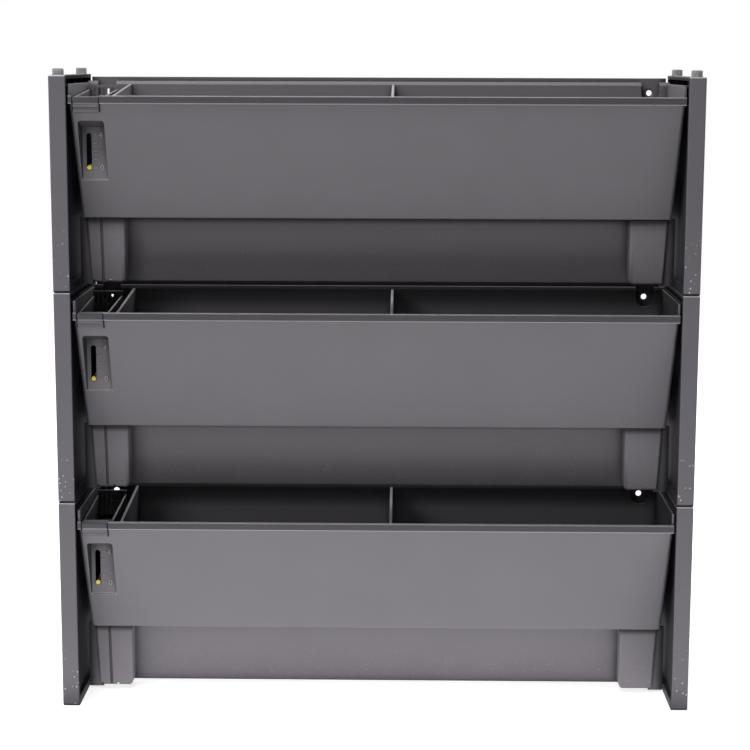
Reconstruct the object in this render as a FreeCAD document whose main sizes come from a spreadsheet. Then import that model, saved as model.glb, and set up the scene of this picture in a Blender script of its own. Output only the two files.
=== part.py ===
"""Stacking wall planter: three tiers of self-watering troughs between moulded side panels.

Frame: +Z up, front towards -Y, origin at the middle of the footprint on the floor.
Inside each sub-part, y = 0 is the front plane of the side panels and z = 0 the foot of its tier.
"""
import FreeCAD, Part
import math
import os
import re
from collections import namedtuple

import Sketcher

TIERS = ("lower", "middle", "upper")

# Driving dimensions in millimetres: alias, value, what it measures.
DIMENSIONS = (
    ("overall_width", 600, "across the outer faces of the side panels"),
    ("tier_height", 200, "stacking height of one tier"),
    ("panel_depth", 145, "side panel, front to back"),
    ("panel_width", 16, "side panel flange, outer face to inner edge"),
    ("panel_flange", 3.5, "border round the inner side of a side panel"),
    ("panel_foot", 8, "that border at the foot"),
    ("panel_recess", 3.5, "inner wall of a side panel behind that border"),
    ("panel_edge_radius", 1.5, "rounding of the outer edges of a side panel"),
    ("cell_height", 4.5, "cells under the top of a side panel"),
    ("cell_depth", 10, "cells under the top of a side panel"),
    ("cell_ledge", 2, "ledge between the cells and the inner wall"),
    ("cell_rib", 2, "rib between two cells"),
    ("cell_rib_count", 3, "ribs between the cells"),
    ("peg_diameter", 10.4, "stacking peg"),
    ("peg_height", 6, "stacking peg above the panel"),
    ("peg_chamfer", 0.8, "lead-in of a stacking peg"),
    ("peg_inset", 8, "peg axis from the outer face of its panel"),
    ("peg_setback", 8.5, "peg axis from the front or back face of its panel"),
    ("peg_clearance", 0.3, "between a peg and its socket, all round"),
    ("lug_reach", 18, "screw lug beyond the inner edge of its panel"),
    ("lug_thickness", 4, "screw lug, front to back"),
    ("lug_height", 20, "screw lug, up and down"),
    ("lug_low", 90, "middle of the lower lug above the tier's foot"),
    ("lug_spacing", 70, "between the lugs of one panel"),
    ("screw_diameter", 3.9, "shank of a panel screw"),
    ("screw_head_diameter", 7.6, "head of a panel screw"),
    ("screw_head_height", 2.6, "head of a panel screw"),
    ("screw_bite", 7, "length of a panel screw past the lug"),
    ("screw_edge", 8, "screw axis from the free end of its lug"),
    ("screw_clearance", 0.15, "round a panel screw"),
    ("boss_diameter", 9, "screw boss on the rear panel"),
    ("boss_length", 5.5, "screw boss in front of the plate"),
    ("rear_wall", 3, "wall of the rear panel"),
    ("rear_gap", 4, "each end of the plate to its side panel"),
    ("back_inset", 17, "front of the rear plate before the back of the side panels"),
    ("back_drop", 2.5, "top of the rear plate below the tier's top"),
    ("shelf_height", 66.6, "shelf under the trough above the tier's foot"),
    ("skirt_setback", 73, "front of the skirt behind the front plane"),
    ("skirt_rise", 3.6, "lower edge of the skirt above the tier's foot"),
    ("leg_setback", 50, "front of a leg behind the front plane"),
    ("leg_width", 32.2, "front of a leg at its foot"),
    ("leg_spread", 3.8, "outer edge of a leg at the shelf beyond its foot"),
    ("leg_rise", 4.6, "lower end of a leg above the tier's foot"),
    ("leg_radius", 2, "rounding of the leg's front edges"),
    ("leg_corner_radius", 4, "lower inner corner of a leg"),
    ("wing_width", 10.8, "narrow face beside a leg"),
    ("wing_gap", 1.4, "that face to the side panel"),
    ("wing_setback", 54.2, "front of that face behind the front plane"),
    ("wing_rise", 2.1, "lower end of that face above the tier's foot"),
    ("groove_offset", 10.2, "drip groove from the outer edge of the left leg, at its foot"),
    ("groove_lean", 1.4, "drip groove at the shelf beyond its foot"),
    ("groove_width", 2.6, "drip groove"),
    ("groove_depth", 1.8, "drip groove"),
    ("drip_offset", 1.3, "first drip notch from the outer edge of the left leg"),
    ("drip_spacing", 15.3, "between the drip notches"),
    ("drip_width", 2, "drip notch"),
    ("drip_height", 2.4, "drip notch"),
    ("gusset_reach", 36, "gusset behind the skirt"),
    ("gusset_height", 38, "gusset behind the skirt"),
    ("gusset_spacing", 150, "between gussets"),
    ("gusset_count", 3, "gussets"),
    ("hole_diameter", 5.5, "wall screw hole"),
    ("hole_countersink", 1.5, "countersink of a wall screw hole"),
    ("hole_drop", 16.6, "wall screw hole below the tier's top"),
    ("hole_inset", 20, "wall screw hole from the inner edge of its panel"),
    ("trough_gap", 1, "each end of the trough to its side panel"),
    ("trough_draft", 4.7, "each end of the trough draws in by this much"),
    ("trough_wall", 2.5, "wall of the trough"),
    ("trough_floor", 2.5, "floor of the trough"),
    ("trough_back_gap", 10, "inside of the trough's back wall to the rear plate"),
    ("trough_corner_radius", 4, "front corners of the trough"),
    ("trough_foot_radius", 1.5, "rounding under the trough"),
    ("rim_drop", 18.5, "front rim below the tier's top"),
    ("rim_height", 7.5, "front rim, up and down"),
    ("rim_setback", 0.6, "front rim behind the front plane"),
    ("rim_radius", 0.9, "rounding of the front rim"),
    ("rear_rim_drop", 6.4, "rear rim below the tier's top"),
    ("rear_rim_chamfer", 3, "slope on the rear rim"),
    ("rear_rim_gap", 0.5, "rear rim to the rear plate"),
    ("rear_notch_width", 17.6, "notch in the rear rim for a wall screw"),
    ("end_drop", 8, "end walls of the trough below the tier's top"),
    ("face_top_setback", 4, "front face under the rim behind the front plane"),
    ("face_foot_setback", 43.8, "front face at its foot behind the front plane"),
    ("filler_width", 41.8, "filler space, panel edge to partition"),
    ("divider_offset", 14.5, "divider from the middle, to the right"),
    ("passage_width", 30, "water passage in a partition"),
    ("passage_height", 9, "water passage in a partition"),
    ("water_depth", 36.9, "overflow level above the trough's floor"),
    ("pipe_inset", 22, "overflow pipe from the panel's inner edge"),
    ("pipe_gap", 15, "overflow pipe to the float"),
    ("pipe_diameter", 12, "overflow pipe"),
    ("pipe_bore", 8, "bore of the overflow pipe"),
    ("drain_clearance", 3, "drain hole in the shelf round the pipe's bore"),
    ("gauge_inset", 8.5, "gauge recess from the panel's inner edge"),
    ("gauge_width", 24.5, "gauge recess"),
    ("gauge_height", 55.5, "gauge recess"),
    ("gauge_drop", 15.5, "top of the gauge recess below the front rim"),
    ("gauge_ceiling", 6.5, "fall of the recess's ceiling towards the plate"),
    ("gauge_sill", 0.7, "gauge plate behind the front face at the recess's foot"),
    ("gauge_radius", 2.2, "rounding inside the gauge recess"),
    ("gauge_corner_radius", 3, "upper corners of the gauge recess"),
    ("slot_offset", 4.4, "gauge slot from the left edge of the recess"),
    ("slot_width", 5, "gauge slot"),
    ("slot_rise", 9, "foot of the gauge slot above the foot of the recess"),
    ("slot_height", 34.5, "gauge slot"),
    ("lip_inset", 5.7, "filler lip from the panel's inner edge"),
    ("lip_width", 23.8, "filler lip"),
    ("lip_clearance", 0.9, "each end of the filler lip to the rim"),
    ("lip_drop", 1.1, "filler lip below the front rim"),
    ("lip_height", 14, "filler lip, up and down"),
    ("lip_step", 1.8, "setback of each step of the filler lip"),
    ("lip_bead", 4.4, "top step of the filler lip, up and down"),
    ("lip_radius", 0.8, "rounding of the top step of the filler lip"),
    ("insert_wall", 1.8, "wall of the filler insert"),
    ("insert_gap", 0.7, "filler insert to the trough's end wall"),
    ("insert_partition_gap", 7.5, "filler insert to the partition"),
    ("insert_front", 12.5, "inner front wall of the insert behind the front plane"),
    ("insert_drop", 4.4, "lower edge of the insert below its lip"),
    ("insert_back_gap", 17, "back of the insert to the trough's back wall"),
    ("insert_rise", 5.4, "rise of the insert's side walls towards the back"),
    ("grid_rise", 9.6, "top of the insert's grid above its lip"),
    ("grid_slot", 2.1, "opening in the grid"),
    ("grid_pitch", 4.2, "between openings of the grid"),
    ("grid_count", 5, "openings of the grid"),
    ("grid_margin", 3, "grid above and below its openings"),
    ("guide_diameter", 6, "float guide"),
    ("guide_setback", 62, "float guide behind the front plane"),
    ("guide_bar_width", 8, "bar that carries the float guide"),
    ("guide_bar_height", 4, "bar that carries the float guide"),
    ("float_clearance", 0.4, "between the float and its guide, all round"),
    ("float_width", 24, "float"),
    ("float_depth", 30, "float, front to back"),
    ("float_height", 20, "float"),
    ("float_radius", 3, "rounding of the float"),
    ("arm_clearance", 0.4, "between the gauge arm's pin and its slot, all round"),
    ("arm_thickness", 3, "stem of the gauge arm"),
    ("arm_proud", 1, "tip of the gauge arm in front of its plate"),
    ("arm_base", 2, "foot of the gauge arm on the float"),
    ("arm_margin", 2, "foot of the gauge arm inside the float's edge"),
    ("grate_thickness", 2.5, "reservoir grate"),
    ("grate_gap", 0.8, "grate to the walls round it"),
    ("cup_diameter", 40, "wicking cup at the grate"),
    ("cup_foot_diameter", 30, "wicking cup at its foot"),
    ("cup_wall", 2, "wall of a wicking cup"),
    ("cup_inset", 45, "cup axis from the end of its grate"),
    ("cup_slot_width", 3.5, "water slot in a cup"),
    ("cup_slot_height", 18, "water slot in a cup"),
    ("grate_slot_width", 4, "slot in a grate"),
    ("grate_slot_margin", 14, "ends of those slots from the grate's edge"),
    ("grate_slot_pitch", 16, "between slots in a grate"),
    ("grate_slot_count", 6, "slots in a grate"),
)
ALIASES = {alias for alias, value, note in DIMENSIONS}

# Places that several sub-parts share, as formulas of the dimensions.
PANEL_EDGE = "(overall_width / 2 - panel_width)"
RIM_TOP = "(tier_height - rim_drop)"
RIM_FOOT = f"({RIM_TOP} - rim_height)"
END_TOP = "(tier_height - end_drop)"
REAR_RIM_TOP = "(tier_height - rear_rim_drop)"
TROUGH_HALF = f"({PANEL_EDGE} - trough_gap)"
TROUGH_FLOOR_TOP = "(shelf_height + trough_floor)"
WATER_LEVEL = f"({TROUGH_FLOOR_TOP} + water_depth)"
PLATE_FRONT = "(panel_depth - back_inset)"
PLATE_BACK = f"({PLATE_FRONT} + rear_wall)"
TROUGH_BACK = f"({PLATE_FRONT} - trough_back_gap)"
LUG_BACK = f"({PLATE_BACK} + lug_thickness)"
SCREW_X = f"({PANEL_EDGE} - lug_reach + screw_edge)"
HOLE_X = f"({PANEL_EDGE} - hole_inset)"
HOLE_Z = "(tier_height - hole_drop)"
WING_OUTER = f"({PANEL_EDGE} - wing_gap)"
LEG_OUTER = f"({WING_OUTER} - wing_width)"
LEG_INNER = f"({LEG_OUTER} - leg_width)"
PARTITION_LEFT = f"(-{PANEL_EDGE} + filler_width)"
PARTITION_RIGHT = f"({PARTITION_LEFT} + trough_wall)"
DIVIDER_LEFT = "(divider_offset - trough_wall / 2)"
DIVIDER_RIGHT = "(divider_offset + trough_wall / 2)"
GAUGE_LEFT = f"(-{PANEL_EDGE} + gauge_inset)"
GAUGE_RIGHT = f"({GAUGE_LEFT} + gauge_width)"
GAUGE_TOP = f"({RIM_FOOT} - gauge_drop)"
GAUGE_FOOT = f"({GAUGE_TOP} - gauge_height)"
SLOT_FOOT = f"({GAUGE_FOOT} + slot_rise)"
SLOT_LEFT = f"({GAUGE_LEFT} + slot_offset)"
SLOT_MIDDLE = f"({SLOT_LEFT} + slot_width / 2)"
LIP_TOP = f"({RIM_TOP} - lip_drop)"
LIP_FOOT = f"({LIP_TOP} - lip_height)"
LIP_LEFT = f"(-{PANEL_EDGE} + lip_inset)"
LIP_RIGHT = f"({LIP_LEFT} + lip_width)"
PIPE_X = f"(-{PANEL_EDGE} + pipe_inset)"
PIPE_Y = "(guide_setback + float_depth / 2 + pipe_gap + pipe_diameter / 2)"
PASSAGE_FRONT = f"(({TROUGH_BACK} + face_foot_setback - passage_width) / 2)"
INSERT_FOOT = f"({LIP_FOOT} - insert_drop)"
INSERT_BACK = f"({TROUGH_BACK} - insert_back_gap)"
GRID_TOP = f"({LIP_TOP} + grid_rise)"

ARCH_DEGREES = (0, 22.5, 45, 67.5, 90)
Disc = namedtuple("Disc", "u v radius")
Obround = namedtuple("Obround", "u width v_low v_high")


def face_y(height):
    """Depth of the trough's slanted front face at a height."""
    slope = f"(face_foot_setback - face_top_setback) / ({RIM_FOOT} - shelf_height)"
    return f"(face_top_setback + ({RIM_FOOT} - {height}) * {slope})"


def end_x(height):
    """Half width of the trough over its drafted ends at a height."""
    return f"({TROUGH_HALF} - ({END_TOP} - {height}) * trough_draft / ({END_TOP} - shelf_height))"


GAUGE_PLATE = f"({face_y(GAUGE_FOOT)} + gauge_sill)"
INSERT_LEFT = f"(-{end_x(INSERT_FOOT)} + trough_wall + insert_gap)"
INSERT_RIGHT = f"({PARTITION_LEFT} - insert_partition_gap)"

doc = FreeCAD.newDocument("wall_planter")
sheet = doc.addObject("Spreadsheet::Sheet", "dims")
for row_number, (alias, value, note) in enumerate(DIMENSIONS, start=1):
    sheet.set(f"A{row_number}", note)
    sheet.set(f"B{row_number}", str(value))
    sheet.setAlias(f"B{row_number}", alias)
doc.recompute()


def cells(formula):
    """Turn the dimension names in a formula into references to the sheet."""
    def reference(match):
        word = match.group(0)
        return f"dims.{word}" if word in ALIASES else word
    return re.sub(r"[a-z_]+", reference, formula)


def amount(formula):
    """Value of a formula as it stands in the sheet."""
    return float(sheet.evalExpression(cells(formula)))


def origin_feature(body, role):
    """Plane or axis of a body's own origin."""
    return next(item for item in body.Origin.OriginFeatures if item.Role == role)


def new_body(tier, piece):
    """Body of one sub-part, standing at the foot of its tier."""
    body = doc.addObject("PartDesign::Body", f"{tier}_{piece}")
    body.Label = f"{tier}_{piece}"
    body.setExpression("Placement.Base.y", cells("-panel_depth / 2"))
    body.setExpression("Placement.Base.z", cells(f"{TIERS.index(tier)} * tier_height"))
    return body


def rectangle(u_low, u_high, v_low, v_high):
    """Corners of an upright rectangle."""
    return [(u_low, v_low), (u_high, v_low), (u_high, v_high), (u_low, v_high)]


def arch(u_low, u_high, v_low, v_high, radius):
    """Corners of an upright rectangle whose upper corners are rounded in short steps."""
    turns = [math.radians(degrees) for degrees in ARCH_DEGREES]
    rounds = [(f"{radius} * {1 - math.cos(turn):.6f}", f"{v_high} - {radius} * {1 - math.sin(turn):.6f}")
              for turn in turns]
    right = [(f"{u_high} - {inset}", v) for inset, v in rounds]
    left = [(f"{u_low} + {inset}", v) for inset, v in reversed(rounds)]
    return [(u_low, v_low), (u_high, v_low)] + right + left


def both_sides(loop):
    """A loop and its mirror image across the middle of the planter."""
    if isinstance(loop, (Disc, Obround)):
        return [loop, loop._replace(u=f"-({loop.u})")]
    return [loop, [(f"-({u})", v) for u, v in reversed(loop)]]


def pin_point(sketch, index, position, u, v):
    """Fix one point of a sketch at a place given by formulas."""
    for kind, formula in (("DistanceX", u), ("DistanceY", v)):
        constraint = Sketcher.Constraint(kind, -1, 1, index, position, amount(formula))
        number = sketch.addConstraint(constraint)
        sketch.setExpression(f"Constraints[{number}]", cells(formula))


def draw_polygon(sketch, corners):
    """Closed run of straight lines."""
    points = [FreeCAD.Vector(amount(u), amount(v), 0) for u, v in corners]
    first = sketch.GeometryCount
    for start, end in zip(points, points[1:] + points[:1]):
        sketch.addGeometry(Part.LineSegment(start, end), False)
    for step, (u, v) in enumerate(corners):
        following = first + (step + 1) % len(corners)
        sketch.addConstraint(Sketcher.Constraint("Coincident", first + step, 2, following, 1))
        pin_point(sketch, first + step, 1, u, v)


def draw_disc(sketch, disc):
    """Circle about a fixed centre."""
    centre = FreeCAD.Vector(amount(disc.u), amount(disc.v), 0)
    circle = Part.Circle(centre, FreeCAD.Vector(0, 0, 1), amount(disc.radius))
    index = sketch.addGeometry(circle, False)
    pin_point(sketch, index, 3, disc.u, disc.v)
    number = sketch.addConstraint(Sketcher.Constraint("Radius", index, amount(disc.radius)))
    sketch.setExpression(f"Constraints[{number}]", cells(disc.radius))


def draw_obround(sketch, slot):
    """Upright slot with round ends about a middle line."""
    radius = f"({slot.width}) / 2"
    left = f"{slot.u} - {radius}"
    right = f"{slot.u} + {radius}"
    low = f"{slot.v_low} + {radius}"
    high = f"{slot.v_high} - {radius}"
    corners = [FreeCAD.Vector(amount(u), amount(v), 0) for u, v in
               ((left, high), (left, low), (right, low), (right, high))]
    normal = FreeCAD.Vector(0, 0, 1)
    foot, head = (Part.Circle(FreeCAD.Vector(amount(slot.u), amount(v), 0), normal, amount(radius))
                  for v in (low, high))
    outline = (Part.LineSegment(corners[0], corners[1]), Part.ArcOfCircle(foot, math.pi, 2 * math.pi),
               Part.LineSegment(corners[2], corners[3]), Part.ArcOfCircle(head, 0, math.pi))
    left_line, foot_arc, right_line, head_arc = [sketch.addGeometry(piece, False) for piece in outline]
    ring = (left_line, foot_arc, right_line, head_arc, left_line)
    for before, after in zip(ring, ring[1:]):
        sketch.addConstraint(Sketcher.Constraint("Coincident", before, 2, after, 1))
    pin_point(sketch, left_line, 1, left, high)
    pin_point(sketch, left_line, 2, left, low)
    pin_point(sketch, right_line, 1, right, low)
    pin_point(sketch, right_line, 2, right, high)
    for arc, height in ((foot_arc, low), (head_arc, high)):
        number = sketch.addConstraint(Sketcher.Constraint("DistanceY", -1, 1, arc, 3, amount(height)))
        sketch.setExpression(f"Constraints[{number}]", cells(height))


def new_sketch(body, plane, name, loops, start="0", shift="0"):
    """Sketch on a plane of the body's origin, moved to a start along that plane's own axis.

    XZ sketches face the front, so their start is a depth behind the front plane.
    """
    sketch = body.newObject("Sketcher::SketchObject", f"{body.Name}_{name}_sketch")
    sketch.AttachmentSupport = (origin_feature(body, f"{plane}_Plane"), [""])
    sketch.MapMode = "FlatFace"
    along = f"-({start})" if plane == "XZ" else start
    sketch.setExpression("AttachmentOffset.Base.x", cells(shift))
    sketch.setExpression("AttachmentOffset.Base.z", cells(along))
    for loop in loops:
        if isinstance(loop, Disc):
            draw_disc(sketch, loop)
        elif isinstance(loop, Obround):
            draw_obround(sketch, loop)
        else:
            draw_polygon(sketch, loop)
    return sketch


def pad(body, plane, name, loops, start, length):
    """Add material: XY grows upwards, YZ to the right and XZ towards the front."""
    feature = body.newObject("PartDesign::Pad", f"{body.Name}_{name}")
    feature.Profile = new_sketch(body, plane, name, loops, start)
    feature.setExpression("Length", cells(length))
    body.Tip = feature
    return feature


def pocket(body, plane, name, loops, start, length):
    """Remove material in the direction that pad adds it."""
    feature = body.newObject("PartDesign::Pocket", f"{body.Name}_{name}")
    feature.Profile = new_sketch(body, plane, name, loops, start)
    feature.Reversed = True
    feature.setExpression("Length", cells(length))
    body.Tip = feature
    return feature


def hollow(body, name, low_loop, low_height, high_loop, high_height):
    """Remove the straight-sided space between two level outlines."""
    feature = body.newObject("PartDesign::SubtractiveLoft", f"{body.Name}_{name}")
    feature.Profile = new_sketch(body, "XY", f"{name}_low", [low_loop], low_height)
    feature.Sections = [new_sketch(body, "XY", f"{name}_high", [high_loop], high_height)]
    feature.Ruled = True
    body.Tip = feature
    return feature


def row(body, name, originals, axis, length, count):
    """Repeat features along an axis of the body."""
    feature = body.newObject("PartDesign::LinearPattern", f"{body.Name}_{name}")
    feature.Originals = originals
    feature.Direction = (origin_feature(body, f"{axis}_Axis"), [""])
    feature.setExpression("Length", cells(length))
    feature.setExpression("Occurrences", cells(count))
    body.Tip = feature
    return feature


def dress(body, kind, name, base, chosen, size_name, size):
    """Fillet or chamfer on the edges of a feature for which chosen(edge) holds."""
    doc.recompute()
    edges = [f"Edge{i}" for i, edge in enumerate(base.Shape.Edges, start=1) if chosen(edge)]
    feature = body.newObject(f"PartDesign::{kind}", f"{body.Name}_{name}")
    feature.Base = (base, edges)
    feature.setExpression(size_name, cells(size))
    body.Tip = feature
    return feature


def on_plane(axis, formula):
    """Test for edges whose ends both lie at one coordinate of a body."""
    place = amount(formula)
    return lambda edge: all(abs(getattr(v.Point, axis) - place) < 1e-4 for v in edge.Vertexes)


def make_left_panel(tier):
    """Moulded side panel: recessed inner wall, cells under the top, pegs, sockets, screw lugs."""
    body = new_body(tier, "left_panel")
    outer = "-overall_width / 2"
    inner = f"{outer} + panel_width"
    outline = rectangle("0", "panel_depth", "0", "tier_height")
    board = pad(body, "YZ", "board", [outline], outer, "panel_width")
    outside = on_plane("x", outer)
    front = on_plane("y", "0")
    dress(body, "Fillet", "edges", board, lambda edge: outside(edge) or front(edge),
          "Radius", "panel_edge_radius")

    cell_foot = "tier_height - panel_flange - cell_height"
    border = ("panel_flange", "panel_depth - panel_flange")
    recess = rectangle(*border, "panel_foot", f"{cell_foot} - cell_ledge")
    pocket(body, "YZ", "inner_wall", [recess], f"{inner} - panel_recess", "panel_recess")
    cell = rectangle(*border, cell_foot, "tier_height - panel_flange")
    pocket(body, "YZ", "cells", [cell], f"{inner} - cell_depth", "cell_depth")
    rib_step = "panel_depth / (cell_rib_count + 1)"
    rib = rectangle(f"{rib_step} - cell_rib / 2", f"{rib_step} + cell_rib / 2",
                    cell_foot, "tier_height - panel_flange")
    first_rib = pad(body, "YZ", "cell_rib", [rib], f"{inner} - cell_depth", "cell_depth - panel_recess")
    row(body, "cell_ribs", [first_rib], "Y", f"{rib_step} * (cell_rib_count - 1)", "cell_rib_count")

    peg_x = f"{outer} + peg_inset"
    peg_places = [(peg_x, "peg_setback"), (peg_x, "panel_depth - peg_setback")]
    pegs = [Disc(x, y, "peg_diameter / 2") for x, y in peg_places]
    sockets = [Disc(x, y, "peg_diameter / 2 + peg_clearance") for x, y in peg_places]
    peg = pad(body, "XY", "pegs", pegs, "tier_height", "peg_height")
    dress(body, "Chamfer", "peg_tops", peg, on_plane("z", "tier_height + peg_height"),
          "Size", "peg_chamfer")
    pocket(body, "XY", "sockets", sockets, "0", "peg_height + peg_clearance")

    lug = rectangle(PLATE_BACK, LUG_BACK, "lug_low - lug_height / 2", "lug_low + lug_height / 2")
    low_lug = pad(body, "YZ", "lug", [lug], f"{inner} - panel_recess", "panel_recess + lug_reach")
    row(body, "lugs", [low_lug], "Z", "lug_spacing", "2")
    holes = [Disc(f"-{SCREW_X}", z, "screw_diameter / 2 + screw_clearance")
             for z in ("lug_low", "lug_low + lug_spacing")]
    pocket(body, "XZ", "lug_holes", holes, LUG_BACK, "lug_thickness")
    return body


def make_right_panel(tier, left_panel):
    """The left panel in mirror image."""
    panel = doc.addObject("Part::Mirroring", f"{tier}_right_panel")
    panel.Label = f"{tier}_right_panel"
    panel.Source = left_panel
    panel.Normal = (1, 0, 0)
    return panel


def make_rear_panel(tier):
    """Back plate, shelf, skirt and two hollow legs in one moulding."""
    body = new_body(tier, "rear_panel")
    plate_half = f"({PANEL_EDGE} - rear_gap)"
    top = "tier_height - back_drop"
    shelf_under = "shelf_height - rear_wall"
    skirt_back = "skirt_setback + rear_wall"
    profile = [("skirt_setback", "skirt_rise"), (skirt_back, "skirt_rise"), (skirt_back, shelf_under),
               (PLATE_BACK, shelf_under), (PLATE_BACK, top), (PLATE_FRONT, top),
               (PLATE_FRONT, "shelf_height"), ("skirt_setback", "shelf_height")]
    pad(body, "YZ", "profile", [profile], f"-{plate_half}", f"2 * {plate_half}")

    leg = [(LEG_INNER, "leg_rise"), (LEG_OUTER, "leg_rise"),
           (f"{LEG_OUTER} + leg_spread", "shelf_height"), (LEG_INNER, "shelf_height")]
    legs = pad(body, "XZ", "legs", both_sides(leg), "skirt_setback", "skirt_setback - leg_setback")
    leg_foot = on_plane("z", "leg_rise")
    leg_insides = (on_plane("x", LEG_INNER), on_plane("x", f"-{LEG_INNER}"))
    rounded = dress(body, "Fillet", "leg_corners", legs,
                    lambda edge: leg_foot(edge) and any(inside(edge) for inside in leg_insides),
                    "Radius", "leg_corner_radius")
    leg_front = on_plane("y", "leg_setback")
    dress(body, "Fillet", "leg_edges", rounded, leg_front, "Radius", "leg_radius")
    wing = rectangle(f"{LEG_OUTER} - rear_wall", WING_OUTER, "wing_setback", "wing_setback + rear_wall")
    pad(body, "XY", "wings", both_sides(wing), "wing_rise", "shelf_height - wing_rise")
    leg_space = rectangle(f"{LEG_INNER} + rear_wall", f"{LEG_OUTER} - rear_wall",
                          "leg_setback + rear_wall", skirt_back)
    pocket(body, "XY", "leg_spaces", both_sides(leg_space), "0", shelf_under)

    groove_left = f"-{LEG_OUTER} + groove_offset"
    groove = [(groove_left, "leg_rise"), (f"{groove_left} + groove_width", "leg_rise"),
              (f"{groove_left} + groove_width - groove_lean", "shelf_height"),
              (f"{groove_left} - groove_lean", "shelf_height")]
    pocket(body, "XZ", "drip_groove", [groove], "leg_setback + groove_depth", "groove_depth")
    drips = []
    for start in ("drip_offset", "drip_offset + drip_spacing"):
        left = f"-{LEG_OUTER} + {start}"
        drips.append(rectangle(left, f"{left} + drip_width", "leg_rise", "leg_rise + drip_height"))
    pocket(body, "XZ", "drip_notches", drips, "leg_setback + rear_wall", "rear_wall")
    drain = Disc(PIPE_X, PIPE_Y, "pipe_bore / 2 + drain_clearance")
    pocket(body, "XY", "drain", [drain], shelf_under, "rear_wall")

    gusset = [(skirt_back, shelf_under), (skirt_back, f"{shelf_under} - gusset_height"),
              (f"{skirt_back} + gusset_reach", shelf_under)]
    first = "-gusset_spacing * (gusset_count - 1) / 2 - rear_wall / 2"
    gusset_pad = pad(body, "YZ", "gusset", [gusset], first, "rear_wall")
    row(body, "gussets", [gusset_pad], "X", "gusset_spacing * (gusset_count - 1)", "gusset_count")

    bosses = []
    bores = []
    for z in ("lug_low", "lug_low + lug_spacing"):
        bosses += both_sides(Disc(SCREW_X, z, "boss_diameter / 2"))
        bores += both_sides(Disc(SCREW_X, z, "screw_diameter / 2 + screw_clearance"))
    pad(body, "XZ", "bosses", bosses, PLATE_FRONT, "boss_length")
    pocket(body, "XZ", "boss_bores", bores, PLATE_BACK, "rear_wall + boss_length")
    wall_hole = Disc(HOLE_X, HOLE_Z, "hole_diameter / 2")
    holes = pocket(body, "XZ", "wall_holes", both_sides(wall_hole), PLATE_BACK, "rear_wall")
    hole_front = on_plane("y", PLATE_FRONT)
    hole_low = amount(f"{HOLE_Z} - hole_diameter")
    dress(body, "Chamfer", "countersinks", holes,
          lambda edge: hole_front(edge) and edge.Closed and edge.BoundBox.ZMin > hole_low,
          "Size", "hole_countersink")
    return body


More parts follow.
